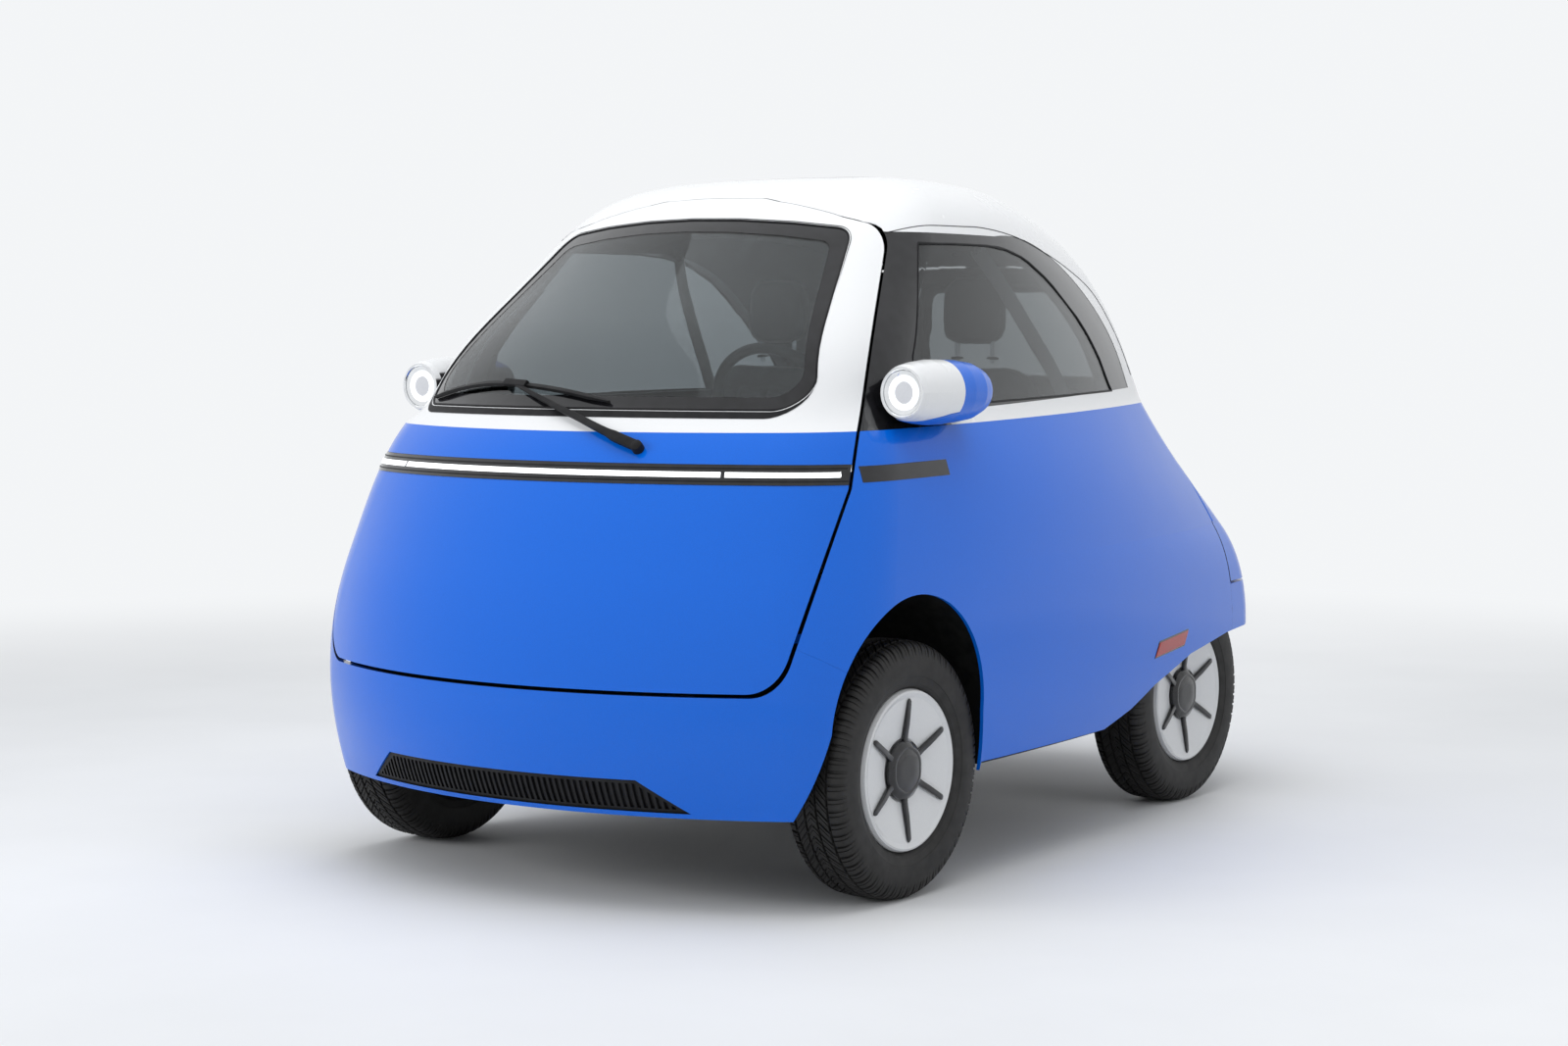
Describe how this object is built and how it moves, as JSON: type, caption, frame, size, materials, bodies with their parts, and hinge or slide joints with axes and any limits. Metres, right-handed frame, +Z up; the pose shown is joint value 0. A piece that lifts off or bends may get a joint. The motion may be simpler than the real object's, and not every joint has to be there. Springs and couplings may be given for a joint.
{
  "type": "two-seat electric microcar",
  "caption": "Two-seat bubble-shaped electric microcar whose whole front face is its door, with narrow rear track, lamp pods, tailgate, opening panels and steered front wheels.",
  "frame": {"origin": "on the ground under the middle of the body, at the bottom centre of its bounding box", "axes": "front of the car towards -Y, the car's left +X, +Z up"},
  "size_m": [1.444, 2.5191, 1.4979],
  "materials": {
    "blue_paint": "gloss blue paint",
    "white_paint": "gloss white paint",
    "black_plastic": "grained black plastic",
    "black_trim": "gloss black",
    "fabric_roof": "dark sunroof panel",
    "side_glass": "tinted",
    "screen_glass": "clear, slightly green",
    "lamp_glass": "clear lens",
    "mirror": "silvered",
    "light_bar": "gloss black band over the light strip",
    "rear_light": "red lens",
    "underbody": "matt black underseal",
    "battery_case": "dark grey case",
    "chassis_steel": "satin black",
    "seat_fabric": "dark woven cloth",
    "tyre": "black rubber",
    "wheel_silver": "satin silver",
    "star_black": "black"
  },
  "bodies": {
    "body": {"body_left": "blue_paint", "body_right": "blue_paint", "front_bumper": "blue_paint", "bumper_grille": "black_plastic", "roof": "white_paint", "sunroof": "fabric_roof", "side_windows": "side_glass", "window_trim": "black_trim", "lamp_bezels": "white_paint", "lamp_lenses": "lamp_glass", "lamp_housings": "blue_paint", "mirror_glasses": "mirror", "rear_bumper": "blue_paint", "floor_pan": "underbody", "battery": "battery_case", "front_axle": "chassis_steel", "rear_axle": "chassis_steel", "seat_base": "seat_fabric", "seat_back": "seat_fabric", "headrests": "seat_fabric", "steering_column": "black_plastic"},
    "front_door": {"door_panel": "blue_paint", "light_bar": "light_bar", "door_frame": "white_paint", "windscreen": "screen_glass", "dashboard": "black_plastic", "wiper": "black_plastic"},
    "tailgate": {"tailgate_panel": "blue_paint", "rear_light_bar": "rear_light", "tailgate_frame": "white_paint", "rear_window": "side_glass"},
    "knuckle_left": {"knuckle_left": "chassis_steel"},
    "knuckle_right": {"knuckle_right": "chassis_steel"},
    "steering_wheel": {"steering_wheel": "black_plastic"},
    "wheel_front_left": {"tyre_front_left": "tyre", "wheel_front_left": "wheel_silver", "wheel_star_front_left": "star_black"},
    "wheel_front_right": {"tyre_front_right": "tyre", "wheel_front_right": "wheel_silver", "wheel_star_front_right": "star_black"},
    "wheel_rear_left": {"tyre_rear_left": "tyre", "wheel_rear_left": "wheel_silver", "wheel_star_rear_left": "star_black"},
    "wheel_rear_right": {"tyre_rear_right": "tyre", "wheel_rear_right": "wheel_silver", "wheel_star_rear_right": "star_black"}
  },
  "joints": [
    {"name": "front_door_hinge", "type": "hinge", "parent": "body", "child": "front_door", "pos_m": [0.628, -1.032, 0.5385], "axis": [0, 0, 1], "range_deg": [0, 70]},
    {"name": "tailgate_hinge", "type": "hinge", "parent": "body", "child": "tailgate", "pos_m": [0, 0.644, 1.3205], "axis": [1, 0, 0], "range_deg": [0, 75]},
    {"name": "steer_left", "type": "hinge", "parent": "body", "child": "knuckle_left", "pos_m": [0.545, -0.73, 0.19], "axis": [-0.1379, 0, 0.9904], "range_deg": [-24, 24]},
    {"name": "steer_right", "type": "hinge", "parent": "body", "child": "knuckle_right", "pos_m": [-0.545, -0.73, 0.19], "axis": [0.1379, 0, 0.9904], "range_deg": [-24, 24]},
    {"name": "steering_wheel_turn", "type": "hinge", "parent": "body", "child": "steering_wheel", "pos_m": [0.245, -0.575, 0.965], "axis": [0, 0.9063, 0.4226], "range_deg": [-361, 361]},
    {"name": "front_left_roll", "type": "hinge", "parent": "knuckle_left", "child": "wheel_front_left", "pos_m": [0.608, -0.73, 0.2645], "axis": [1, 0, 0], "continuous": true},
    {"name": "front_right_roll", "type": "hinge", "parent": "knuckle_right", "child": "wheel_front_right", "pos_m": [-0.608, -0.73, 0.2645], "axis": [1, 0, 0], "continuous": true},
    {"name": "rear_left_roll", "type": "hinge", "parent": "body", "child": "wheel_rear_left", "pos_m": [0.504, 0.71, 0.2645], "axis": [1, 0, 0], "continuous": true},
    {"name": "rear_right_roll", "type": "hinge", "parent": "body", "child": "wheel_rear_right", "pos_m": [-0.504, 0.71, 0.2645], "axis": [1, 0, 0], "continuous": true}
  ],
  "couplings": [
    {"joint": "steer_right", "follows": "steer_left", "ratio": 1},
    {"joint": "steering_wheel_turn", "follows": "steer_left", "ratio": 15}
  ]
}
